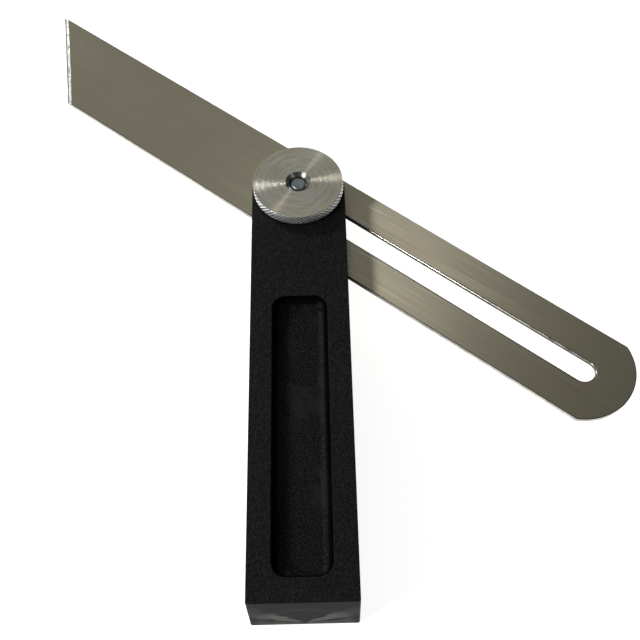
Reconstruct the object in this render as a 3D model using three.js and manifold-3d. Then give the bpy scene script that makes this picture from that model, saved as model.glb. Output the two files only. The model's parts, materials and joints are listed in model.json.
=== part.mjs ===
// Sliding bevel, the adjustable gauge that sets out and copies any angle.
// A slotted steel blade turns and slides in the saw kerf of a moulded black stock.
// One screw through the head of the stock and a round knurled nut clamp the blade.
//
// Frame: millimetres, +Z up. The origin is on the pivot axis, in the plane of the stock's
// back face. The stock runs from the pivot towards -Y, and the nut is on its front face, at +Z.

import * as THREE from "three";
import { mergeVertices } from "three/addons/utils/BufferGeometryUtils.js";
import Module from "manifold-3d";

// ---------------------------------------------------------------- stock
const stockWidth = 25.4;
const stockThickness = 17.0;
const pivotToButt = 114.3;
const headRadius = stockWidth / 2;

// The kerf is open at the head and along both edges, and stops short of the butt.
const kerfBottom = 10.5;
const kerfWidth = 1.8;
const kerfTop = kerfBottom + kerfWidth;
const kerfEndY = -108.3;

// The same finger pocket is sunk in the front and in the back face.
const pocketWidth = 14.1;
const pocketTopY = -34.6;
const pocketBottomY = -108.5;
const pocketDepth = 3.2;
const pocketCornerRadius = 3.5;
const pocketFillet = 3.0;

// ---------------------------------------------------------------- blade
const bladeWidth = 25.4;
const bladeThickness = 1.4;
const bladeSideGap = 0.2;
const bladeBottom = kerfBottom + bladeSideGap;
const bladeTop = bladeBottom + bladeThickness;

// Distances along the blade are from the pivot, positive towards the slotted, rounded end.
const bladeAngle = THREE.MathUtils.degToRad(-38.7);
const bladeSidePlay = 0.6;
const slotWidth = 5.8;
const slotStart = -8.0;
const slotEndCentre = 90.45;
const roundEndCentre = 88.8;
const roundEndRadius = 14.5;
const mitreMiddle = -92.05;
const mitreRun = 26.6;

// ---------------------------------------------------------------- clamp
const threadRadius = 2.4;
const threadEndRadius = 1.7;
const waistRadius = 2.1;
const waistTopZ = 13.2;
const screwEndZ = 19.9;
const screwHeadRadius = 6.0;
const screwHeadThickness = 2.1;
const screwHeadChamfer = 0.4;
const neckWidth = 5.0;
const neckTopZ = 9.6;

const nutRadius = 12.35;
const nutBottomZ = stockThickness + 0.61;
const nutTopZ = stockThickness + 3.65;
const nutChamfer = 0.2;
const nutBoreRadius = 2.7;
const nutCountersinkRadius = 3.45;
const nutCountersinkDepth = 0.85;

const nutWasherRadius = 7.5;
const nutWasherThickness = 0.42;
const bladeWasherRadius = 8.0;
const bladeWasherThickness = 0.5;
const washerBoreRadius = 2.7;

// ---------------------------------------------------------------- clearances
const faceGap = 0.1;
const fitGap = 0.3;
const cutterExtra = 5.0;
const washerSeatDepth = bladeWasherThickness + 2 * faceGap - bladeSideGap;

const roundSegments = 48;
const cornerSegments = 6;

const wasm = await Module();
wasm.setup();

// ---------------------------------------------------------------- helpers

// Turns a closed triangle geometry into a solid that can be cut and joined.
function solidOf(geometry) {
  const bare = geometry.clone();
  bare.deleteAttribute("normal");
  bare.deleteAttribute("uv");
  const merged = mergeVertices(bare);
  const corners = merged.index.array;
  const kept = [];
  for (let i = 0; i < corners.length; i += 3) {
    const [a, b, c] = [corners[i], corners[i + 1], corners[i + 2]];
    const isRealTriangle = a !== b && b !== c && c !== a;
    if (isRealTriangle) {
      kept.push(a, b, c);
    }
  }
  const mesh = new wasm.Mesh({
    numProp: 3,
    vertProperties: new Float32Array(merged.attributes.position.array),
    triVerts: new Uint32Array(kept),
  });
  return new wasm.Manifold(mesh);
}

// Turns a solid back into a triangle geometry.
function geometryOf(solid) {
  const mesh = solid.getMesh();
  const geometry = new THREE.BufferGeometry();
  geometry.setAttribute("position", new THREE.BufferAttribute(mesh.vertProperties, 3));
  geometry.setIndex(new THREE.BufferAttribute(mesh.triVerts, 1));
  geometry.computeVertexNormals();
  return geometry;
}

// A block between two opposite corners.
function block(low, high) {
  const size = high.clone().sub(low);
  const middle = low.clone().add(high).multiplyScalar(0.5);
  const geometry = new THREE.BoxGeometry(size.x, size.y, size.z);
  return geometry.translate(middle.x, middle.y, middle.z);
}

// A round body on the Z axis from a list of [radius, height] points.
function turned(profile) {
  const points = profile.map(([radius, height]) => new THREE.Vector2(radius, height));
  const geometry = new THREE.LatheGeometry(points, roundSegments);
  return geometry.rotateX(Math.PI / 2);
}

function cylinder(radius, bottomZ, topZ) {
  return turned([[0, bottomZ], [radius, bottomZ], [radius, topZ], [0, topZ]]);
}

function washer(radius, boreRadius, bottomZ, thickness) {
  const topZ = bottomZ + thickness;
  return turned([
    [boreRadius, bottomZ],
    [radius, bottomZ],
    [radius, topZ],
    [boreRadius, topZ],
    [boreRadius, bottomZ],
  ]);
}

function roundedRectangle(width, lowY, highY, radius) {
  const right = width / 2;
  const shape = new THREE.Shape();
  shape.absarc(right - radius, lowY + radius, radius, -Math.PI / 2, 0);
  shape.absarc(right - radius, highY - radius, radius, 0, Math.PI / 2);
  shape.absarc(radius - right, highY - radius, radius, Math.PI / 2, Math.PI);
  shape.absarc(radius - right, lowY + radius, radius, Math.PI, 1.5 * Math.PI);
  shape.closePath();
  return shape;
}

// ---------------------------------------------------------------- stock

// A rectangle whose head end is a half circle around the pivot.
function stockOutline() {
  const shape = new THREE.Shape();
  shape.moveTo(-stockWidth / 2, -pivotToButt);
  shape.lineTo(stockWidth / 2, -pivotToButt);
  shape.absarc(0, 0, headRadius, 0, Math.PI);
  shape.closePath();
  return shape;
}

// The pocket's tool: its walls run down into the floor through a quarter-round fillet.
function pocketCutter() {
  const outline = roundedRectangle(pocketWidth, pocketBottomY, pocketTopY, pocketCornerRadius);
  return new THREE.ExtrudeGeometry(outline, {
    depth: cutterExtra,
    curveSegments: cornerSegments,
    bevelEnabled: true,
    bevelThickness: pocketFillet,
    bevelSize: pocketFillet,
    bevelOffset: -pocketFillet,
    bevelSegments: 4,
  });
}

function makeStock() {
  const body = new THREE.ExtrudeGeometry(stockOutline(), {
    depth: stockThickness,
    curveSegments: 32,
    bevelEnabled: false,
  });
  const kerf = block(
    new THREE.Vector3(-stockWidth, kerfEndY, kerfBottom),
    new THREE.Vector3(stockWidth, 2 * headRadius, kerfTop),
  );
  const washerSeat = cylinder(
    bladeWasherRadius + fitGap,
    kerfBottom - washerSeatDepth,
    kerfTop + washerSeatDepth,
  );
  const headSeat = cylinder(screwHeadRadius + fitGap, -cutterExtra, screwHeadThickness + faceGap);
  const neckHalf = neckWidth / 2 + fitGap;
  const neckHole = block(
    new THREE.Vector3(-neckHalf, -neckHalf, 0),
    new THREE.Vector3(neckHalf, neckHalf, kerfBottom),
  );
  const screwHole = cylinder(threadRadius + fitGap, kerfBottom, stockThickness + cutterExtra);

  const frontPocket = pocketCutter().translate(0, 0, stockThickness - pocketDepth + pocketFillet);
  const backPocket = pocketCutter().rotateY(Math.PI).translate(0, 0, pocketDepth - pocketFillet);

  let stock = solidOf(body);
  for (const cutter of [kerf, washerSeat, headSeat, neckHole, screwHole, frontPocket, backPocket]) {
    stock = stock.subtract(solidOf(cutter));
  }
  return geometryOf(stock);
}

// ---------------------------------------------------------------- blade

// Mitred at one end and rounded at the other, with a slot that stops short of the round end.
function bladeOutline() {
  const half = bladeWidth / 2;
  const cornerAngle = Math.asin(half / roundEndRadius);
  const tipX = mitreMiddle - mitreRun / 2;
  const heelX = mitreMiddle + mitreRun / 2;
  const shape = new THREE.Shape();
  shape.absarc(roundEndCentre, 0, roundEndRadius, -cornerAngle, cornerAngle);
  shape.lineTo(tipX, half);
  shape.lineTo(heelX, -half);
  shape.closePath();

  const slotRadius = slotWidth / 2;
  const slot = new THREE.Path();
  slot.absarc(slotEndCentre, 0, slotRadius, -Math.PI / 2, Math.PI / 2);
  slot.absarc(slotStart + slotRadius, 0, slotRadius, Math.PI / 2, 1.5 * Math.PI);
  slot.closePath();
  shape.holes.push(slot);
  return shape;
}

function makeBlade() {
  const plate = new THREE.ExtrudeGeometry(bladeOutline(), {
    depth: bladeThickness,
    curveSegments: 24,
    bevelEnabled: false,
  });
  return geometryOf(solidOf(plate));
}

// ---------------------------------------------------------------- clamp

// A flat round head, a square neck that stops the screw turning, a waist where the blade
// slides past, and a thread with a chamfered end.
function makeClampScrew() {
  const chamferDepth = threadRadius - threadEndRadius;
  const roundBody = turned([
    [0, 0],
    [screwHeadRadius - screwHeadChamfer, 0],
    [screwHeadRadius, screwHeadChamfer],
    [screwHeadRadius, screwHeadThickness],
    [waistRadius, screwHeadThickness],
    [waistRadius, waistTopZ],
    [threadRadius, waistTopZ + threadRadius - waistRadius],
    [threadRadius, screwEndZ - chamferDepth],
    [threadEndRadius, screwEndZ],
    [0, screwEndZ],
  ]);
  const neck = block(
    new THREE.Vector3(-neckWidth / 2, -neckWidth / 2, screwHeadThickness / 2),
    new THREE.Vector3(neckWidth / 2, neckWidth / 2, neckTopZ),
  );
  return geometryOf(solidOf(roundBody).add(solidOf(neck)));
}

// A flat disc with chamfered rims and a tapped hole that is countersunk at the top.
function makeClampNut() {
  return turned([
    [nutBoreRadius, nutBottomZ],
    [nutRadius - nutChamfer, nutBottomZ],
    [nutRadius, nutBottomZ + nutChamfer],
    [nutRadius, nutTopZ - nutChamfer],
    [nutRadius - nutChamfer, nutTopZ],
    [nutCountersinkRadius, nutTopZ],
    [nutBoreRadius, nutTopZ - nutCountersinkDepth],
    [nutBoreRadius, nutBottomZ],
  ]);
}

function makeNutWasher() {
  return washer(nutWasherRadius, washerBoreRadius, stockThickness + faceGap, nutWasherThickness);
}

function makeFrontBladeWasher() {
  return washer(bladeWasherRadius, washerBoreRadius, bladeTop + faceGap, bladeWasherThickness);
}

function makeBackBladeWasher() {
  const bottomZ = bladeBottom - faceGap - bladeWasherThickness;
  return washer(bladeWasherRadius, washerBoreRadius, bottomZ, bladeWasherThickness);
}

// ---------------------------------------------------------------- assembly

function makeMesh(name, geometry, color, roughness, metalness) {
  const material = new THREE.MeshStandardMaterial({ color, roughness, metalness });
  const mesh = new THREE.Mesh(geometry, material);
  mesh.name = name;
  return mesh;
}

const stock = makeMesh("stock", makeStock(), 0x171916, 0.6, 0.0);
const clampScrew = makeMesh("clamp_screw", makeClampScrew(), 0x8f9397, 0.3, 1.0);
const clampNut = makeMesh("clamp_nut", makeClampNut(), 0x96937f, 0.35, 1.0);
const nutWasher = makeMesh("nut_washer", makeNutWasher(), 0x8b8b84, 0.4, 1.0);
const frontBladeWasher = makeMesh("front_blade_washer", makeFrontBladeWasher(), 0x2b2b2a, 0.5, 0.0);
const backBladeWasher = makeMesh("back_blade_washer", makeBackBladeWasher(), 0x2b2b2a, 0.5, 0.0);

// The screw is narrower than the slot, so the blade sits a little to one side of the pivot.
const blade = makeMesh("blade", makeBlade(), 0x85806f, 0.35, 1.0);
blade.position.set(0, bladeSidePlay, bladeBottom);
const bladeTurn = new THREE.Group();
bladeTurn.rotation.z = bladeAngle;
bladeTurn.add(blade);

const bevel = new THREE.Group();
bevel.add(stock, clampScrew, clampNut, nutWasher, frontBladeWasher, backBladeWasher, bladeTurn);

export default bevel;
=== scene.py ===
"""Looks of the sliding bevel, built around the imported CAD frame.

Everything is in metres, in the frame of the CAD model: the origin is on the pivot axis in the
plane of the stock's back face, the stock runs towards -Y and the nut is on the +Z face.
"""

import json
import math

import bpy
from mathutils import Euler, Matrix, Vector
from mathutils.geometry import tessellate_polygon


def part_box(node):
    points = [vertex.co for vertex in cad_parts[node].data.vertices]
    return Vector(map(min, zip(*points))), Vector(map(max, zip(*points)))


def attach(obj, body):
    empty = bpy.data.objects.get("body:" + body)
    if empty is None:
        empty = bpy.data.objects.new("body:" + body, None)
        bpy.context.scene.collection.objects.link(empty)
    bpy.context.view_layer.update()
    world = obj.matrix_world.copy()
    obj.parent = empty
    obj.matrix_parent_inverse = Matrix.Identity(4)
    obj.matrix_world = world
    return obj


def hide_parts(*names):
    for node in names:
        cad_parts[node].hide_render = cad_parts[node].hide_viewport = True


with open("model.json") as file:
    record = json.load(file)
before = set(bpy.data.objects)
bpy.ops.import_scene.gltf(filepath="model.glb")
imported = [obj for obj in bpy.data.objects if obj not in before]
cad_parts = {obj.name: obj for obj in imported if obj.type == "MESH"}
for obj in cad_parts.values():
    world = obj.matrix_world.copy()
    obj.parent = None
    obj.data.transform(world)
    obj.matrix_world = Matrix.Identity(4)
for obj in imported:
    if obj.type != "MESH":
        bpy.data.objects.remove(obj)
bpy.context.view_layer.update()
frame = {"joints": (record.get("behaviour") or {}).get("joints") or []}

MM = 0.001

# ------------------------------------------------------------------ sizes from the frame
STOCK_LOW, STOCK_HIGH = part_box("stock")
BLADE_LOW, BLADE_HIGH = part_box("blade")
NUT_LOW, NUT_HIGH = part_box("clamp_nut")
SCREW_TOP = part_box("clamp_screw")[1].z
JOINTS = {joint["name"]: joint for joint in frame["joints"]}

STOCK_HALF_WIDTH = STOCK_HIGH.x
STOCK_TOP = STOCK_HIGH.z
BUTT_Y = STOCK_LOW.y
NUT_RADIUS = NUT_HIGH.x
BLADE_DIRECTION = Vector(JOINTS["blade_slide"]["axis"])
BLADE_ANGLE = math.atan2(BLADE_DIRECTION.y, BLADE_DIRECTION.x)

# ------------------------------------------------------------------ stock
STOCK_EDGE = 0.12 * MM
BUTT_CORNER = 0.45 * MM
KERF_LOW = 10.5 * MM
KERF_HIGH = 12.3 * MM
KERF_END_Y = -108.3 * MM
WASHER_SEAT_RADIUS = 8.3 * MM
WASHER_SEAT_DEPTH = 0.5 * MM
HEAD_SEAT_RADIUS = 6.3 * MM
HEAD_SEAT_DEPTH = 2.2 * MM
NECK_HOLE_HALF = 2.8 * MM
SCREW_HOLE_RADIUS = 2.7 * MM

POCKET_HALF_WIDTH = 7.05 * MM
POCKET_TOP_Y = -34.6 * MM
POCKET_BOTTOM_Y = -108.5 * MM
POCKET_DEPTH = 3.2 * MM
POCKET_CORNER = 3.5 * MM
POCKET_FILLET = 2.9 * MM
POCKET_RIM = 0.22 * MM
STOCK_CUT_EDGE = 0.1 * MM
CUT_OVERSHOOT = 1.0 * MM

# ------------------------------------------------------------------ blade, in its own axes
BLADE_HALF_WIDTH = 12.7 * MM
BLADE_SIDE_PLAY = 0.6 * MM
BLADE_EDGE = 0.2 * MM
SLOT_RADIUS = 2.9 * MM
SLOT_START = -8.0 * MM
SLOT_END_CENTRE = 90.45 * MM
SLOT_ROLL_WIDTH = 0.6 * MM
SLOT_ROLL_DEPTH = 0.5 * MM
ROUND_END_CENTRE = 88.8 * MM
ROUND_END_RADIUS = 14.5 * MM
MITRE_MIDDLE = -92.05 * MM
MITRE_RUN = 26.6 * MM
MITRE_BEVEL_WIDTH = 1.2 * MM
MITRE_BEVEL_DEPTH = 0.6 * MM
CUT_EDGE_DEPTH = 0.36 * MM
UV_SCALE = 5.0

# ------------------------------------------------------------------ clamp
THREAD_PITCH = 0.8 * MM
SCREW_RADIUS = 2.4 * MM
SCREW_THREAD_DEPTH = 0.35 * MM
SCREW_END_RADIUS = 1.7 * MM
SCREW_END_CHAMFER = 0.42 * MM
SCREW_WAIST_RADIUS = 2.08 * MM
SCREW_WAIST_TOP = 13.2 * MM
SCREW_HEAD_RADIUS = 6.0 * MM
SCREW_HEAD_THICKNESS = 2.1 * MM
SCREW_HEAD_CHAMFER = 0.35 * MM
NECK_HALF = 2.5 * MM
NECK_TOP = 9.6 * MM
NUT_BORE_RADIUS = 2.5 * MM
NUT_CONE_RADIUS = 3.45 * MM
NUT_CONE_DEPTH = 0.85 * MM
NUT_TOP_CHAMFER = 0.15 * MM
NUT_LOW_CHAMFER = 0.3 * MM
NUT_THREAD_DEPTH = 0.3 * MM
NUT_THREAD_START = 0.5 * MM
KNURL_COUNT = 66
KNURL_DEPTH = 0.24 * MM
NUT_FACE_RADIUS = NUT_RADIUS - KNURL_DEPTH - 0.1 * MM
NUT_FACE_WAVE = 0.003 * MM
NUT_FACE_WAVES = ((9.1, 1.0, 0.0), (5.3, 0.7, 1.0))
WASHER_HOLE_RADIUS = 2.7 * MM
WASHER_EDGE = 0.12 * MM

# ------------------------------------------------------------------ stage, lamps and camera
FLOOR_REACH = 1.6
FLOOR_CELLS = 8
FLOOR_DROP = 0.05 * MM

LAMP_DISTANCE = 1.0
# Azimuth and elevation in degrees, side in metres and power in watts.
LAMPS = {
    "left_lamp": (212.5, 30, 0.14, 5.2),
    "right_lamp": (-37, 31, 0.06, 0.5),
    "back_lamp": (138, 33, 0.16, 2.6),
}

CAMERA_POSITION = Vector((6.48, -180.07, 241.96)) * MM
CAMERA_YAW = math.radians(0.564)
CAMERA_TILT = math.radians(31.51)
CAMERA_ROLL = math.radians(-1.97)
CAMERA_LENS = 58.42
CAMERA_SENSOR = 36.0


# ------------------------------------------------------------------ mesh helpers

def object_from(name, points, faces):
    mesh = bpy.data.meshes.new(name)
    mesh.from_pydata([tuple(point) for point in points], [], faces)
    mesh.validate()
    mesh.update()
    made = bpy.data.objects.new(name, mesh)
    bpy.context.scene.collection.objects.link(made)
    return made


def arc(centre, radius, start, end, steps):
    """Points on a circle, both ends included. Angles are in degrees."""
    found = []
    for step in range(steps + 1):
        angle = math.radians(start + (end - start) * step / steps)
        found.append((centre[0] + radius * math.cos(angle), centre[1] + radius * math.sin(angle)))
    return found


def circle(radius, count, turn=1):
    """Points all the way round the Z axis. A turn of -1 goes clockwise, as a hole does."""
    return arc((0, 0), radius, 0, turn * (360 - 360 / count), count - 1)


def inset(loop, distances):
    """The loop with each side moved to its left by its own distance. Side i starts at point i."""
    moved = []
    count = len(loop)
    for i in range(count):
        here = Vector(loop[i])
        before = (here - Vector(loop[i - 1])).normalized()
        after = (Vector(loop[(i + 1) % count]) - here).normalized()
        first, second = distances[i - 1], distances[i]
        turn = before.cross(after)
        if abs(turn) < 1e-4:
            step = Vector((-before.y, before.x)) * first
        else:
            step = (after * first - before * second) / turn
        moved.append(tuple(here + step))
    return moved


def bridge(faces, first, second, count):
    """Quads between two closed rings of vertices, the second one above the first."""
    for i in range(count):
        j = (i + 1) % count
        faces.append((first + i, first + j, second + j, second + i))


def rolled(width, depth):
    """A rolled rim: how far it has pulled in at a distance below the face."""
    def pull(below):
        rest = max(0.0, 1 - below / depth)
        return width * (1 - math.sqrt(1 - rest * rest))
    return pull


def bevelled(width, depth):
    """A flat bevel, given in the same way."""
    def pull(below):
        return width * max(0.0, 1 - below / depth)
    return pull


def quarter_steps(depth, steps):
    """Distances below a face that cut a rolled rim into even facets."""
    return [depth * (1 - math.cos(0.5 * math.pi * step / steps)) for step in range(steps + 1)]


def plate(name, loops, low, high, depths):
    """A flat plate from loops of (points, one rim for each side).

    The outer loop is anticlockwise and the holes are clockwise. Both faces get the rims.
    """
    levels = [(below, low + below) for below in depths]
    levels += [(below, high - below) for below in reversed(depths)]
    points = []
    faces = []
    low_rims = []
    high_rims = []
    for loop, rims in loops:
        starts = []
        for below, z in levels:
            starts.append(len(points))
            points.extend((x, y, z) for x, y in inset(loop, [rim(below) for rim in rims]))
        for first, second in zip(starts, starts[1:]):
            bridge(faces, first, second, len(loop))
        low_rims.append(range(starts[0], starts[0] + len(loop)))
        high_rims.append(range(starts[-1], starts[-1] + len(loop)))
    for rims, upward in ((low_rims, False), (high_rims, True)):
        order = [index for rim in rims for index in rim]
        outlines = [[Vector(points[index]) for index in rim] for rim in rims]
        for triangle in tessellate_polygon(outlines):
            corners = [order[i] for i in triangle]
            a, b, c = (Vector(points[i]) for i in corners)
            if ((b - a).cross(c - a).z > 0) != upward:
                corners.reverse()
            faces.append(tuple(corners))
    return object_from(name, points, faces)


def turned(name, profile, segments):
    """A round body on the Z axis from (radius, height) points, with a radius of 0 at both ends."""
    points = []
    faces = []
    rings = []
    for radius, height in profile:
        rings.append((len(points), radius == 0))
        if radius == 0:
            points.append((0, 0, height))
            continue
        for i in range(segments):
            angle = 2 * math.pi * i / segments
            points.append((radius * math.cos(angle), radius * math.sin(angle), height))
    for (first, first_is_point), (second, second_is_point) in zip(rings, rings[1:]):
        for i in range(segments):
            j = (i + 1) % segments
            if first_is_point:
                faces.append((first, second + j, second + i))
            elif second_is_point:
                faces.append((first + i, first + j, second))
            else:
                faces.append((first + i, first + j, second + j, second + i))
    return object_from(name, points, faces)


def block(name, low, high):
    corners = [(x, y, z) for z in (low[2], high[2]) for y in (low[1], high[1]) for x in (low[0], high[0])]
    faces = [(0, 2, 3, 1), (4, 5, 7, 6), (0, 1, 5, 4), (1, 3, 7, 5), (3, 2, 6, 7), (2, 0, 4, 6)]
    return object_from(name, corners, faces)


def combine(target, tool, operation):
    """Joins the tool to the target, or cuts it away, and removes the tool."""
    modifier = target.modifiers.new("combine", "BOOLEAN")
    modifier.operation = operation
    modifier.solver = "EXACT"
    modifier.object = tool
    apply_modifiers(target)
    bpy.data.objects.remove(tool)


def apply_modifiers(target):
    bpy.context.view_layer.update()
    graph = bpy.context.evaluated_depsgraph_get()
    finished = bpy.data.meshes.new_from_object(target.evaluated_get(graph))
    target.modifiers.clear()
    target.data = finished


def soften(target, width, segments, angle):
    """Rounds the edges that are sharper than the angle, in degrees."""
    modifier = target.modifiers.new("soften", "BEVEL")
    modifier.width = width
    modifier.segments = segments
    modifier.limit_method = "ANGLE"
    modifier.angle_limit = math.radians(angle)
    modifier.use_clamp_overlap = True
    apply_modifiers(target)


def shade(target, angle=35):
    """Smooth shading that keeps creases sharper than the angle and flat faces flat."""
    target.data.shade_smooth()
    target.data.set_sharp_from_angle(angle=math.radians(angle))
    modifier = target.modifiers.new("normals", "WEIGHTED_NORMAL")
    modifier.keep_sharp = True
    modifier.weight = 80
    apply_modifiers(target)


def dress(target, materials, choose=lambda face: 0):
    """Gives each face the material whose place in the list is choose(face)."""
    target.data.materials.clear()
    for material in materials:
        target.data.materials.append(material)
    for face in target.data.polygons:
        face.material_index = choose(face)


def place(target, body, node):
    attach(target, body)
    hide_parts(node)


# ------------------------------------------------------------------ node helpers

def new_material(name):
    material = bpy.data.materials.new(name)
    material.use_nodes = True
    return material, material.node_tree, material.node_tree.nodes["Principled BSDF"]


def add(tree, kind, settings=None, **inputs):
    """Adds a node. An input is a value, or a socket of another node to link from."""
    made = tree.nodes.new("ShaderNode" + kind)
    for key, value in (settings or {}).items():
        setattr(made, key, value)
    for key, value in inputs.items():
        socket = made.inputs[int(key[1:])] if key[0] == "i" and key[1:].isdigit() else made.inputs[key]
        if isinstance(value, bpy.types.NodeSocket):
            tree.links.new(value, socket)
        else:
            socket.default_value = value
    return made


def math_node(tree, operation, first, second=0.0):
    return add(tree, "Math", {"operation": operation}, i0=first, i1=second).outputs[0]


def plus(tree, first, second):
    return math_node(tree, "ADD", first, second)


def times(tree, first, second):
    return math_node(tree, "MULTIPLY", first, second)


def coordinates(tree):
    return add(tree, "TexCoord").outputs["Object"]


def rotated(tree, vector, angle):
    """The coordinates in axes turned by the angle about Z."""
    return add(tree, "Mapping", Vector=vector, Rotation=(0, 0, -angle)).outputs[0]


def distance_from_axis(tree, vector):
    flat = add(tree, "VectorMath", {"operation": "MULTIPLY"}, i0=vector, i1=(1, 1, 0)).outputs[0]
    return add(tree, "VectorMath", {"operation": "LENGTH"}, i0=flat).outputs["Value"]


def scaled(tree, vector, scale):
    return add(tree, "Mapping", Vector=vector, Scale=scale).outputs[0]


def noise(tree, vector, scale, detail=2.0, roughness=0.5):
    return add(tree, "TexNoise", Vector=vector, Scale=scale, Detail=detail, Roughness=roughness).outputs[0]


def ramp(tree, value, stops):
    """A colour ramp from (place, colour) stops. A plain number stands for a grey."""
    made = tree.nodes.new("ShaderNodeValToRGB")
    elements = made.color_ramp.elements
    while len(elements) < len(stops):
        elements.new(0.5)
    for element, (position, colour) in zip(elements, stops):
        element.position = position
        element.color = (colour, colour, colour, 1) if isinstance(colour, float) else (*colour, 1)
    tree.links.new(value, made.inputs[0])
    return made.outputs[0]


def mix(tree, share, first, second, kind="MIX"):
    made = add(tree, "Mix", {"data_type": "RGBA", "blend_type": kind})
    for socket, value in ((made.inputs[0], share), (made.inputs[6], first), (made.inputs[7], second)):
        if isinstance(value, bpy.types.NodeSocket):
            tree.links.new(value, socket)
        else:
            socket.default_value = value if isinstance(value, float) else (*value, 1)
    return made.outputs[2]


def bump(tree, height, distance):
    return add(tree, "Bump", Height=height, Distance=distance, Strength=1.0).outputs[0]


def feed(tree, shader, colour, rough=None, normal=None):
    """Links what varies over the surface to the shader."""
    for name, value in (("Base Color", colour), ("Roughness", rough), ("Normal", normal)):
        if value is not None:
            tree.links.new(value, shader.inputs[name])


# ------------------------------------------------------------------ materials

def black_plastic(name, tone, grain, gloss, shine, smear_share, wall_shade_share):
    """Moulded black plastic: a pebbled skin with pale specks, faint bloom and rubbed smears.

    Steep walls get painted shade: their colour is scaled down to the wall share of its strength on flat
    faces.
    """
    material, tree, shader = new_material(name)
    spot = coordinates(tree)
    bloom = noise(tree, spot, 45.0, 3.0)
    speck = noise(tree, spot, 2100.0, 3.0, 0.7)
    smear = noise(tree, scaled(tree, rotated(tree, spot, 0.5), (130.0, 55.0, 120.0)), 1.0, 5.0, 0.6)
    dark = tuple(0.7 * channel for channel in tone)
    colour = ramp(tree, bloom, [(0.3, dark), (0.7, tone)])
    pale = tuple(4.5 * channel for channel in tone)
    colour = mix(tree, ramp(tree, speck, [(0.46, 0.0), (0.64, 1.0)]), colour, pale)
    rubbed = mix(tree, 1.0, ramp(tree, smear, [(0.56, 0.0), (0.64, 1.0)]), (smear_share,) * 3, "MULTIPLY")
    colour = mix(tree, rubbed, colour, pale)
    # Painted shade: the colour is darker on faces that tilt away from flat, such as the pocket's walls and
    # fillets.
    facing = add(tree, "SeparateXYZ", i0=add(tree, "TexCoord").outputs["Normal"]).outputs[2]
    flatness = math_node(tree, "ABSOLUTE", facing)
    painted_wall_shade = ramp(tree, flatness, [(0.72, wall_shade_share), (0.97, 1.0)])
    colour = mix(tree, 1.0, colour, painted_wall_shade, "MULTIPLY")
    rough = ramp(tree, smear, [(0.35, gloss), (0.7, gloss + 0.14)])
    pebble = noise(tree, spot, 1500.0, 2.0, 0.55)
    feed(tree, shader, colour, rough, bump(tree, pebble, grain))
    shader.inputs["Specular IOR Level"].default_value = shine
    return material


def butt_plastic():
    """The stock's end: paler flow marks fan out from the moulding gate at its lower middle."""
    material, tree, shader = new_material("stock_butt_plastic")
    gate_height = 1.6 * MM
    gate_radius = 2.4 * MM
    fan_reach = 16 * MM
    spot = coordinates(tree)
    parts = add(tree, "SeparateXYZ", i0=spot)
    across = parts.outputs[0]
    up = math_node(tree, "SUBTRACT", parts.outputs[2], gate_height)
    warp = noise(tree, scaled(tree, spot, (160.0, 1.0, 420.0)), 1.0, 3.0)
    wobble = times(tree, math_node(tree, "SUBTRACT", warp, 0.5), 0.55)
    side = math_node(tree, "ABSOLUTE", across)
    angle = plus(tree, math_node(tree, "ARCTAN2", up, side), wobble)
    square = plus(tree, math_node(tree, "POWER", up, 2.0), math_node(tree, "POWER", across, 2.0))
    radius = math_node(tree, "SQRT", square)
    turn = times(tree, angle, 2 / math.pi)
    fans = ramp(tree, turn, [(0.0, 0.55), (0.16, 0.15), (0.32, 1.0),
                             (0.50, 0.75), (0.56, 0.05), (1.0, 0.12)])
    outward = times(tree, radius, 1 / fan_reach)
    crown = ramp(tree, outward, [(0.50, 0.0), (0.66, 0.9), (0.76, 0.1), (1.0, 0.25)])
    marks = mix(tree, 0.45, fans, crown, "SCREEN")
    marks = mix(tree, 1.0, marks, ramp(tree, outward, [(0.40, 1.0), (0.80, 0.35)]), "MULTIPLY")
    colour = ramp(tree, marks, [(0.20, (0.0110, 0.0115, 0.0103)), (0.68, (0.078, 0.081, 0.073))])
    past_gate = ramp(tree, times(tree, radius, 1 / gate_radius), [(0.28, 0.0), (0.45, 1.0)])
    colour = mix(tree, past_gate, (0.008, 0.008, 0.008), colour)
    grain = noise(tree, spot, 700.0, 3.0)
    colour = mix(tree, 0.35, colour, ramp(tree, grain, [(0.3, 0.35), (0.7, 0.95)]), "MULTIPLY")
    rough = ramp(tree, marks, [(0.0, 0.55), (1.0, 0.42)])
    feed(tree, shader, colour, rough, bump(tree, grain, 0.02 * MM))
    shader.inputs["Specular IOR Level"].default_value = 0.03
    return material


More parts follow.
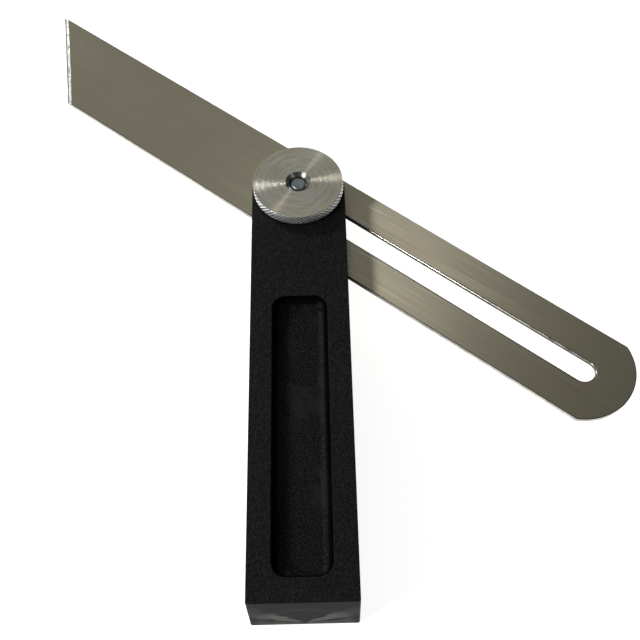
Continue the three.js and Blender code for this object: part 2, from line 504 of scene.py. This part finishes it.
def brushed_steel():
    """Satin stainless steel, brushed along the blade, with a few light handling scratches."""
    material, tree, shader = new_material("blade_brushed_steel")
    spot = rotated(tree, coordinates(tree), BLADE_ANGLE)
    streaks = noise(tree, scaled(tree, spot, (26.0, 3000.0, 3000.0)), 1.0, 4.0, 0.65)
    bands = noise(tree, scaled(tree, spot, (9.0, 620.0, 620.0)), 1.0, 3.0)
    cloud = noise(tree, spot, 70.0, 4.0, 0.6)
    colour = ramp(tree, streaks, [(0.25, (0.53, 0.487, 0.355)), (0.75, (0.71, 0.663, 0.485))])
    colour = mix(tree, ramp(tree, bands, [(0.35, 0.0), (0.65, 1.0)]), colour, (0.60, 0.560, 0.415))
    colour = mix(tree, ramp(tree, cloud, [(0.40, 0.0), (0.62, 0.35)]), colour, (0.58, 0.50, 0.37))
    long_marks = noise(tree, scaled(tree, rotated(tree, spot, 0.05), (34.0, 1500.0, 1.0)), 1.0, 1.0)
    worn_reach = 100 * MM
    along = times(tree, add(tree, "SeparateXYZ", i0=spot).outputs[0], 1 / worn_reach)
    worn = ramp(tree, along, [(0.12, 0.0), (0.20, 1.0), (0.42, 0.8), (0.60, 0.0)])
    scratch = mix(tree, 1.0, ramp(tree, long_marks, [(0.62, 0.0), (0.70, 0.8)]), worn, "MULTIPLY")
    colour = mix(tree, scratch, colour, (0.86, 0.85, 0.78))
    rough = ramp(tree, streaks, [(0.25, 0.27), (0.75, 0.32)])
    height = plus(tree, streaks, times(tree, bands, 0.6))
    feed(tree, shader, colour, rough, bump(tree, height, 0.035 * MM))
    tangent = add(tree, "Tangent", {"direction_type": "UV_MAP"})
    tree.links.new(tangent.outputs[0], shader.inputs["Tangent"])
    shader.inputs["Metallic"].default_value = 1.0
    shader.inputs["Anisotropic"].default_value = 1.0
    return material


def turned_zinc():
    """The nut's face: fine lathe rings under a zinc plate with faint pink and green tints."""
    material, tree, shader = new_material("nut_turned_zinc")
    spot = coordinates(tree)
    parts = add(tree, "SeparateXYZ", i0=spot)
    radius = distance_from_axis(tree, spot)
    around = math_node(tree, "ARCTAN2", parts.outputs[1], parts.outputs[0])

    def lathe_place(rings_per_metre, drift):
        """Coordinates that change fast outwards and slowly round the axis."""
        return add(tree, "CombineXYZ", i0=times(tree, radius, rings_per_metre),
                   i1=times(tree, around, drift)).outputs[0]

    rings = noise(tree, lathe_place(3000.0, 0.7), 1.0, 3.0, 0.6)
    wide = noise(tree, lathe_place(900.0, 1.4), 1.0, 3.0)
    tint = noise(tree, spot, 170.0, 2.0)
    colour = ramp(tree, tint, [(0.30, (0.99, 0.80, 0.62)), (0.42, (0.98, 0.90, 0.64)),
                               (0.52, (0.90, 0.91, 0.68)), (0.62, (0.90, 0.91, 0.82)),
                               (0.74, (0.99, 0.82, 0.70))])
    colour = mix(tree, 0.45, colour, ramp(tree, rings, [(0.30, 0.62), (0.65, 1.0)]), "MULTIPLY")
    wide_tone = ramp(tree, wide, [(0.35, (0.78, 0.74, 0.60)), (0.62, (1.0, 0.99, 0.90))])
    colour = mix(tree, 0.45, colour, wide_tone)
    rough = ramp(tree, rings, [(0.25, 0.17), (0.75, 0.27)])
    height = plus(tree, rings, times(tree, wide, 3.6))
    feed(tree, shader, colour, rough, bump(tree, height, 0.035 * MM))
    tangent = add(tree, "Tangent", {"direction_type": "RADIAL", "axis": "Z"})
    tree.links.new(tangent.outputs[0], shader.inputs["Tangent"])
    shader.inputs["Metallic"].default_value = 1.0
    shader.inputs["Anisotropic"].default_value = 1.0
    shader.inputs["Anisotropic Rotation"].default_value = 0.25
    return material


def knurled_zinc():
    """The nut's rim: bright crests, and painted shade that darkens the bottoms of the grooves."""
    material, tree, shader = new_material("nut_knurled_zinc")
    spot = coordinates(tree)
    up_from_groove = math_node(tree, "SUBTRACT", distance_from_axis(tree, spot), NUT_RADIUS - KNURL_DEPTH)
    rim_noise = noise(tree, spot, 900.0, 2.0)
    groove_shade_height = plus(tree, times(tree, up_from_groove, 1 / KNURL_DEPTH), times(tree, rim_noise, 0.3))
    # Painted shade: the colour goes from bright on the crests to nearly black at the groove bottoms, spread
    # a little at random.
    colour = ramp(tree, groove_shade_height, [(0.25, 0.10), (0.52, 0.64), (0.82, 0.97)])
    feed(tree, shader, colour, ramp(tree, rim_noise, [(0.3, 0.28), (0.7, 0.40)]))
    shader.inputs["Metallic"].default_value = 1.0
    return material


def plated_steel(name, tone, rough, relief=0.006 * MM):
    """Zinc plate on plain steel, with small blotches and fine scuffs."""
    material, tree, shader = new_material(name)
    spot = coordinates(tree)
    blotch = noise(tree, spot, 420.0, 3.0)
    scuff = noise(tree, scaled(tree, rotated(tree, spot, 0.7), (900.0, 240.0, 900.0)), 1.0, 4.0, 0.7)
    dark = tuple(0.62 * channel for channel in tone)
    colour = ramp(tree, blotch, [(0.3, dark), (0.65, tone)])
    colour = mix(tree, 0.25, colour, ramp(tree, scuff, [(0.3, 0.3), (0.7, 1.0)]), "MULTIPLY")
    scuffed_rough = ramp(tree, scuff, [(0.3, rough), (0.75, rough + 0.16)])
    feed(tree, shader, colour, scuffed_rough, bump(tree, scuff, relief))
    shader.inputs["Metallic"].default_value = 1.0
    return material


def washer_nylon():
    """Black nylon with the sheen and faint drag marks of a rubbing face."""
    material, tree, shader = new_material("washer_nylon")
    rub = noise(tree, coordinates(tree), 900.0, 3.0)
    colour = ramp(tree, rub, [(0.3, 0.016), (0.7, 0.032)])
    rough = ramp(tree, rub, [(0.3, 0.32), (0.7, 0.5)])
    feed(tree, shader, colour, rough, bump(tree, rub, 0.01 * MM))
    return material


# ------------------------------------------------------------------ stock

def rounded_rectangle(half_width, low_y, high_y, radius):
    side = half_width - radius
    low = low_y + radius
    high = high_y - radius
    corners = ((side, low), (side, high), (-side, high), (-side, low))
    loop = []
    for quarter, centre in enumerate(corners):
        loop += arc(centre, radius, 90 * (quarter - 1), 90 * quarter, 8)
    return loop


def pocket_cutter(face_z, outward):
    """A finger pocket's tool: filleted floor, short wall and a rim that flares onto the face."""
    levels = []
    fillet_steps = 8
    for step in range(fillet_steps + 1):
        angle = 0.5 * math.pi * step / fillet_steps
        levels.append((POCKET_FILLET * (1 - math.sin(angle)), POCKET_FILLET * (1 - math.cos(angle))))
    rim_steps = 4
    for step in range(rim_steps + 1):
        angle = 0.5 * math.pi * step / rim_steps
        rise = POCKET_DEPTH - POCKET_RIM * (1 - math.sin(angle))
        levels.append((-POCKET_RIM * (1 - math.cos(angle)), rise))
    levels.append((-POCKET_RIM, POCKET_DEPTH + CUT_OVERSHOOT))
    points = []
    faces = []
    starts = []
    for distance, rise in levels:
        starts.append(len(points))
        loop = rounded_rectangle(
            POCKET_HALF_WIDTH - distance,
            POCKET_BOTTOM_Y + distance,
            POCKET_TOP_Y - distance,
            POCKET_CORNER - distance,
        )
        z = face_z + outward * (rise - POCKET_DEPTH)
        points.extend((x, y, z) for x, y in loop)
    count = len(points) - starts[-1]
    for first, second in zip(starts, starts[1:]):
        bridge(faces, first, second, count)
    faces.append(tuple(reversed(range(count))))
    faces.append(tuple(range(starts[-1], starts[-1] + count)))
    if outward < 0:
        faces = [tuple(reversed(face)) for face in faces]
    return object_from("pocket_cutter", points, faces)


def cylinder(radius, low, high, segments=64):
    return turned("cylinder", [(0, low), (radius, low), (radius, high), (0, high)], segments)


def make_stock():
    corner = BUTT_CORNER
    half = STOCK_HALF_WIDTH
    outline = arc((-half + corner, BUTT_Y + corner), corner, 180, 270, 4)
    outline += arc((half - corner, BUTT_Y + corner), corner, 270, 360, 4)
    outline += arc((0, 0), half, 0, 180, 72)
    rims = [rolled(STOCK_EDGE, STOCK_EDGE)] * len(outline)
    stock = plate("stock_body", [(outline, rims)], 0.0, STOCK_TOP, quarter_steps(STOCK_EDGE, 4))

    wide = 2 * half
    combine(stock, block("kerf", (-wide, KERF_END_Y, KERF_LOW), (wide, wide, KERF_HIGH)), "DIFFERENCE")
    seat = cylinder(WASHER_SEAT_RADIUS, KERF_LOW - WASHER_SEAT_DEPTH, KERF_HIGH + WASHER_SEAT_DEPTH)
    combine(stock, seat, "DIFFERENCE")
    combine(stock, cylinder(HEAD_SEAT_RADIUS, -CUT_OVERSHOOT, HEAD_SEAT_DEPTH), "DIFFERENCE")
    neck = NECK_HOLE_HALF
    combine(stock, block("neck_hole", (-neck, -neck, CUT_OVERSHOOT), (neck, neck, KERF_LOW)), "DIFFERENCE")
    hole = cylinder(SCREW_HOLE_RADIUS, KERF_HIGH, STOCK_TOP + CUT_OVERSHOOT, 48)
    combine(stock, hole, "DIFFERENCE")
    soften(stock, STOCK_CUT_EDGE, 2, 60)
    combine(stock, pocket_cutter(STOCK_TOP, 1), "DIFFERENCE")
    combine(stock, pocket_cutter(0.0, -1), "DIFFERENCE")
    shade(stock)

    skin, pocket_skin, butt = range(3)
    plastics = (
        # The last number is the wall share: painted shade on steep faces, strong in the pocket and slight
        # on the outer skin.
        black_plastic("stock_skin", (0.0045, 0.0051, 0.0045), 0.22 * MM, 0.5, 0.15, 0.0, 0.9),
        black_plastic("stock_pocket_skin", (0.0060, 0.0066, 0.0060), 0.16 * MM, 0.36, 0.07, 0.45, 0.06),
        butt_plastic(),
    )

    def choose(face):
        centre = face.center
        below_face = min(centre.z, STOCK_TOP - centre.z)
        in_width = abs(centre.x) < POCKET_HALF_WIDTH
        in_length = POCKET_BOTTOM_Y < centre.y < POCKET_TOP_Y
        sunk = 0.5 * POCKET_RIM < below_face < POCKET_DEPTH + STOCK_EDGE
        if face.normal.y < -0.9 and centre.y < BUTT_Y + STOCK_EDGE:
            return butt
        return pocket_skin if in_width and in_length and sunk else skin

    dress(stock, plastics, choose)
    place(stock, "stock", "stock")


# ------------------------------------------------------------------ blade

def make_blade():
    half = BLADE_HALF_WIDTH
    spread = math.degrees(math.asin(half / ROUND_END_RADIUS))
    outline = arc((ROUND_END_CENTRE, 0), ROUND_END_RADIUS, -spread, spread, 72)
    outline.append((MITRE_MIDDLE - MITRE_RUN / 2, half))
    outline.append((MITRE_MIDDLE + MITRE_RUN / 2, -half))
    rims = [rolled(BLADE_EDGE, BLADE_EDGE)] * len(outline)
    rims[-2] = bevelled(MITRE_BEVEL_WIDTH, MITRE_BEVEL_DEPTH)
    slot = arc((SLOT_END_CENTRE, 0), SLOT_RADIUS, 90, -90, 32)
    slot += arc((SLOT_START + SLOT_RADIUS, 0), SLOT_RADIUS, -90, -270, 32)
    slot_rims = [rolled(SLOT_ROLL_WIDTH, SLOT_ROLL_DEPTH)] * len(slot)
    depths = quarter_steps(BLADE_EDGE, 3) + quarter_steps(SLOT_ROLL_DEPTH, 8)[1:] + [MITRE_BEVEL_DEPTH]
    depths.sort()
    blade = plate("blade_plate", [(outline, rims), (slot, slot_rims)], BLADE_LOW.z, BLADE_HIGH.z, depths)
    layer = blade.data.uv_layers.new(name="across_blade")
    for corner in blade.data.loops:
        point = blade.data.vertices[corner.vertex_index].co
        layer.data[corner.index].uv = (point.y * UV_SCALE + 0.5, point.x * UV_SCALE + 0.5)
    to_place = Matrix.Rotation(BLADE_ANGLE, 4, "Z") @ Matrix.Translation((0, BLADE_SIDE_PLAY, 0))
    blade.data.transform(to_place)
    shade(blade)

    brushed, rolled_edge, ground_edge, shaded_cut_edge, lit_mitre_bevel = range(5)
    metals = (
        brushed_steel(),
        plated_steel("blade_rolled_edge", (0.46, 0.44, 0.385), 0.18),
        plated_steel("blade_ground_edge", (0.62, 0.60, 0.55), 0.34),
        # Painted shade: a near-black copy of the steel for cut walls and rims that would show shade or
        # mirror dark surroundings.
        plated_steel("blade_cut_edge", (0.10, 0.095, 0.085), 0.45),
        # Painted highlight: a near-white copy of the steel, smoother and without relief, standing in for
        # the band of light on the mitre's bevel.
        plated_steel("blade_mitre_bevel", (0.97, 0.96, 0.92), 0.22, 0.001 * MM),
    )
    to_blade = to_place.inverted()
    slot_reach = SLOT_RADIUS + SLOT_ROLL_WIDTH

    def choose(face):
        """The flats are brushed. Rims and walls differ on the mitre, in the slot and elsewhere: the mitre's
        bevel carries a painted highlight, and many walls and rims a painted shade.
        """
        middle = to_blade @ face.center
        below = BLADE_HIGH.z - middle.z
        if abs(face.normal.z) > 0.99:
            return brushed
        if middle.x < MITRE_MIDDLE + MITRE_RUN / 2:
            return lit_mitre_bevel if below < CUT_EDGE_DEPTH else shaded_cut_edge
        if abs(middle.y) < slot_reach and middle.x < SLOT_END_CENTRE + slot_reach:
            return rolled_edge if below < CUT_EDGE_DEPTH and middle.y > 0 else shaded_cut_edge
        return shaded_cut_edge if below < BLADE_EDGE else ground_edge

    dress(blade, metals, choose)
    place(blade, "blade", "blade")


# ------------------------------------------------------------------ clamp

def triangle_wave(value):
    """0 at whole numbers and 1 half way between them."""
    return 1 - abs(2 * (value % 1.0) - 1)


def knurled_radius(turn, height):
    """The rim's radius where two families of crossing V grooves meet. Height is in pitches."""
    ridge = min(triangle_wave(turn * KNURL_COUNT + height), triangle_wave(turn * KNURL_COUNT - height))
    return NUT_RADIUS - KNURL_DEPTH * (1 - ridge)


def nut_face_profile():
    """Radius and height along the turned face, from the rim's chamfer in to the cone.

    The waves are (radians per millimetre, height, start), and die out at both ends.
    """
    highest = sum(height for pace, height, start in NUT_FACE_WAVES)
    steps = 64
    profile = []
    for step in range(steps + 1):
        radius = NUT_FACE_RADIUS + (NUT_CONE_RADIUS - NUT_FACE_RADIUS) * step / steps
        wave = sum(height * math.sin(pace * radius / MM + start) for pace, height, start in NUT_FACE_WAVES)
        rest = min(1.0, step / 3, (steps - step) / 3)
        profile.append((radius, NUT_HIGH.z - NUT_FACE_WAVE * rest * (highest + wave)))
    return profile


def ring(points, radius_at, height, count):
    """Adds a closed ring of points and returns the place of the first. Radii depend on the turn."""
    start = len(points)
    for i in range(count):
        angle = 2 * math.pi * i / count
        radius = radius_at(i / count)
        points.append((radius * math.cos(angle), radius * math.sin(angle), height))
    return start


def join_to_fine(faces, coarse_start, fine_start, coarse, share, fine_above):
    """Joins a coarse ring to a fine one, with one many-sided face for each coarse step."""
    fine = coarse * share
    for i in range(coarse):
        j = (i + 1) % coarse
        steps = [fine_start + (i * share + k) % fine for k in range(share + 1)]
        if fine_above:
            faces.append((coarse_start + i, coarse_start + j, *reversed(steps)))
        else:
            faces.append((*steps, coarse_start + j, coarse_start + i))


def make_nut():
    coarse = KNURL_COUNT * 2
    share = 5
    fine = coarse * share
    low = NUT_LOW.z
    high = NUT_HIGH.z
    groove_pitch = 2 * math.pi * NUT_RADIUS / KNURL_COUNT
    points = []
    faces = []

    def round_ring(radius, height):
        return ring(points, lambda turn: radius, height, coarse)

    def rim_ring(height):
        """One ring of the knurled rim, cut down by the chamfers."""
        top_cut = NUT_RADIUS - max(0.0, height - (high - NUT_TOP_CHAMFER))
        low_cut = NUT_RADIUS - max(0.0, low + NUT_LOW_CHAMFER - height)
        level = (height - low) / groove_pitch
        return ring(points, lambda turn: min(top_cut, low_cut, knurled_radius(turn, level)), height, fine)

    bottom_face = round_ring(NUT_FACE_RADIUS, low)
    bottom_bore = round_ring(NUT_CONE_RADIUS, low)
    bridge(faces, bottom_bore, bottom_face, coarse)
    rim_rows = 31
    rows = [rim_ring(low + (high - low) * row / rim_rows) for row in range(rim_rows + 1)]
    join_to_fine(faces, bottom_face, rows[0], coarse, share, True)
    for first, second in zip(rows, rows[1:]):
        bridge(faces, first, second, fine)
    face_rings = [round_ring(radius, height) for radius, height in nut_face_profile()]
    join_to_fine(faces, face_rings[0], rows[-1], coarse, share, False)
    for first, second in zip(face_rings, face_rings[1:]):
        bridge(faces, first, second, coarse)

    previous = face_rings[-1]
    cone_steps = 4
    for step in range(1, cone_steps + 1):
        down = step / cone_steps
        radius = NUT_CONE_RADIUS + (NUT_BORE_RADIUS - NUT_CONE_RADIUS) * down
        following = round_ring(radius, high - NUT_CONE_DEPTH * down)
        bridge(faces, previous, following, coarse)
        previous = following
    cone_low = high - NUT_CONE_DEPTH
    bore_low = low + NUT_THREAD_START
    bore_rows = 22
    for row in range(1, bore_rows + 1):
        height = cone_low + (bore_low - cone_low) * row / bore_rows
        groove = NUT_THREAD_DEPTH * min(1.0, row / 3, (bore_rows - row) / 3)
        following = ring(
            points,
            lambda turn: NUT_BORE_RADIUS + groove * triangle_wave(height / THREAD_PITCH - turn),
            height,
            coarse,
        )
        bridge(faces, previous, following, coarse)
        previous = following
    bridge(faces, previous, bottom_bore, coarse)

    nut = object_from("clamp_nut_knurled", points, faces)
    shade(nut, 28)
    turned_face, rim, bore = range(3)
    zincs = (turned_zinc(), knurled_zinc(), plated_steel("nut_bore_zinc", (0.66, 0.66, 0.62), 0.16))

    def choose(face):
        if math.hypot(face.center.x, face.center.y) < 0.99 * NUT_CONE_RADIUS:
            return bore
        return turned_face if face.normal.z > 0.9 else rim

    dress(nut, zincs, choose)
    place(nut, "nut", "clamp_nut")


def make_screw():
    """The head, the square neck and the threaded shank overlap a little and are joined."""
    chamfer = SCREW_HEAD_CHAMFER
    head_end = NECK_TOP + 0.2 * MM
    neck_start = SCREW_HEAD_THICKNESS - 0.6 * MM
    shank_start = NECK_TOP - 0.5 * MM
    profile = [
        (0, 0),
        (SCREW_HEAD_RADIUS - chamfer, 0),
        (SCREW_HEAD_RADIUS, chamfer),
        (SCREW_HEAD_RADIUS, SCREW_HEAD_THICKNESS - chamfer / 2),
        (SCREW_HEAD_RADIUS - chamfer / 2, SCREW_HEAD_THICKNESS),
        (SCREW_WAIST_RADIUS, SCREW_HEAD_THICKNESS),
        (SCREW_WAIST_RADIUS, head_end),
        (0, head_end),
    ]
    segments = 48
    screw = turned("clamp_screw_threaded", profile, segments)
    neck = block("neck", (-NECK_HALF, -NECK_HALF, neck_start), (NECK_HALF, NECK_HALF, NECK_TOP))
    combine(screw, neck, "UNION")

    points = []
    faces = []
    starts = [
        ring(points, lambda turn: SCREW_WAIST_RADIUS, height, segments)
        for height in (shank_start, SCREW_WAIST_TOP)
    ]
    thread_top = SCREW_TOP - SCREW_END_CHAMFER
    rows = 84
    for row in range(1, rows + 1):
        height = SCREW_WAIST_TOP + (thread_top - SCREW_WAIST_TOP) * row / rows
        cut = SCREW_THREAD_DEPTH * min(1.0, (rows - row) / 8)
        groove_shade_height = SCREW_RADIUS - (SCREW_RADIUS - SCREW_WAIST_RADIUS) * max(0.0, 1 - row / 4)
        groove_shade_height -= (SCREW_RADIUS - SCREW_END_RADIUS - SCREW_END_CHAMFER) * max(0.0, 1 - (rows - row) / 4)
        starts.append(ring(
            points,
            lambda turn: groove_shade_height - cut * triangle_wave(height / THREAD_PITCH - turn),
            height,
            segments,
        ))
    starts.append(ring(points, lambda turn: SCREW_END_RADIUS, SCREW_TOP, segments))
    for first, second in zip(starts, starts[1:]):
        bridge(faces, first, second, segments)
    faces.append(tuple(reversed(range(segments))))
    faces.append(tuple(range(starts[-1], starts[-1] + segments)))
    combine(screw, object_from("shank", points, faces), "UNION")
    shade(screw, 28)
    steels = (
        plated_steel("screw_zinc", (0.55, 0.59, 0.59), 0.36),
        plated_steel("screw_end_steel", (0.44, 0.51, 0.53), 0.3),
    )

    def choose(face):
        return int(face.normal.z > 0.95 and face.center.z > 0.999 * SCREW_TOP)

    dress(screw, steels, choose)
    place(screw, "stock", "clamp_screw")


def make_washer(name, body, node, material):
    low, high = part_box(node)
    edge = min(WASHER_EDGE, (high.z - low.z) / 4)
    rim = rolled(edge, edge)
    loops = [(loop, [rim] * len(loop)) for loop in (circle(high.x, 96), circle(WASHER_HOLE_RADIUS, 48, -1))]
    washer = plate(name, loops, low.z, high.z, quarter_steps(edge, 3))
    shade(washer)
    dress(washer, [material])
    place(washer, body, node)


# ------------------------------------------------------------------ stage, light and camera

def make_floor():
    places = [FLOOR_REACH * (2 * step / FLOOR_CELLS - 1) for step in range(FLOOR_CELLS + 1)]
    points = [(x, y, -FLOOR_DROP) for y in places for x in places]
    faces = []
    for row in range(FLOOR_CELLS):
        for column in range(FLOOR_CELLS):
            start = row * len(places) + column
            above = start + len(places)
            faces.append((start, start + 1, above + 1, above))
    floor = object_from("floor", points, faces)
    material, tree, shader = new_material("floor_paper")
    tone = noise(tree, coordinates(tree), 6.0, 2.0)
    feed(tree, shader, ramp(tree, tone, [(0.3, 0.86), (0.7, 0.88)]))
    shader.inputs["Roughness"].default_value = 0.95
    shader.inputs["Specular IOR Level"].default_value = 0.0
    shader.inputs["Emission Color"].default_value = (1, 1, 1, 1)
    shader.inputs["Emission Strength"].default_value = 0.85
    dress(floor, [material])


def soft_light(name, azimuth, elevation, size, power):
    """A square soft light aimed at the pivot. Azimuth 0 is +X and 90 is +Y, in degrees."""
    around = math.radians(azimuth)
    up = math.radians(elevation)
    direction = Vector((math.cos(up) * math.cos(around), math.cos(up) * math.sin(around), math.sin(up)))
    data = bpy.data.lights.new(name, "AREA")
    data.shape = "SQUARE"
    data.size = size
    data.energy = power
    light = bpy.data.objects.new(name, data)
    bpy.context.scene.collection.objects.link(light)
    light.location = direction * LAMP_DISTANCE
    light.rotation_euler = direction.to_track_quat("Z", "Y").to_euler()


def make_world():
    """A white horizon under a grey ceiling that is darker to both sides and darkest in front."""
    world = bpy.data.worlds.new("studio")
    bpy.context.scene.world = world
    world.use_nodes = True
    tree = world.node_tree
    background = tree.nodes["Background"]
    direction = add(tree, "TexCoord").outputs["Generated"]
    parts = add(tree, "SeparateXYZ", i0=direction)
    ceiling = ramp(tree, parts.outputs[2], [(0.0, 0.90), (0.26, 0.85), (0.40, 0.29), (1.0, 0.22)])
    right = plus(tree, times(tree, parts.outputs[0], 0.5), 0.5)
    side_share = ramp(tree, right, [(0.06, 0.30), (0.26, 1.0), (0.56, 1.0),
                                    (0.68, 0.33), (0.80, 0.20), (0.95, 0.12)])
    ceiling = mix(tree, 1.0, ceiling, side_share, "MULTIPLY")
    front = math_node(tree, "SUBTRACT", 0.5, times(tree, parts.outputs[1], 0.5))
    front_share = ramp(tree, front, [(0.45, 0.0), (0.70, 1.0)])
    front_tone = ramp(tree, parts.outputs[2], [(0.20, 0.45), (0.40, 0.07)])
    sky = mix(tree, front_share, ceiling, front_tone)
    tree.links.new(sky, background.inputs["Color"])
    background.inputs["Strength"].default_value = 1.0


def make_camera():
    data = bpy.data.cameras.new("camera")
    data.sensor_width = CAMERA_SENSOR
    data.lens = CAMERA_LENS
    data.clip_start = 0.01
    data.clip_end = 20.0
    camera = bpy.data.objects.new("camera", data)
    bpy.context.scene.collection.objects.link(camera)
    yaw = Euler((0, 0, CAMERA_YAW)).to_matrix()
    tilt = Euler((CAMERA_TILT, 0, 0)).to_matrix()
    roll = Euler((0, 0, CAMERA_ROLL)).to_matrix()
    camera.rotation_euler = (yaw @ tilt @ roll).to_euler()
    camera.location = CAMERA_POSITION
    bpy.context.scene.camera = camera


make_stock()
make_blade()
make_nut()
make_screw()
make_washer("nut_washer_steel", "nut_washer", "nut_washer",
            plated_steel("nut_washer_zinc", (0.5, 0.5, 0.47), 0.3))
nylon = washer_nylon()
make_washer("front_washer_nylon", "blade_washers", "front_blade_washer", nylon)
make_washer("back_washer_nylon", "blade_washers", "back_blade_washer", nylon)

make_floor()
make_world()
for lamp_name, lamp in LAMPS.items():
    soft_light(lamp_name, *lamp)
make_camera()
bpy.context.scene.view_settings.view_transform = "Standard"
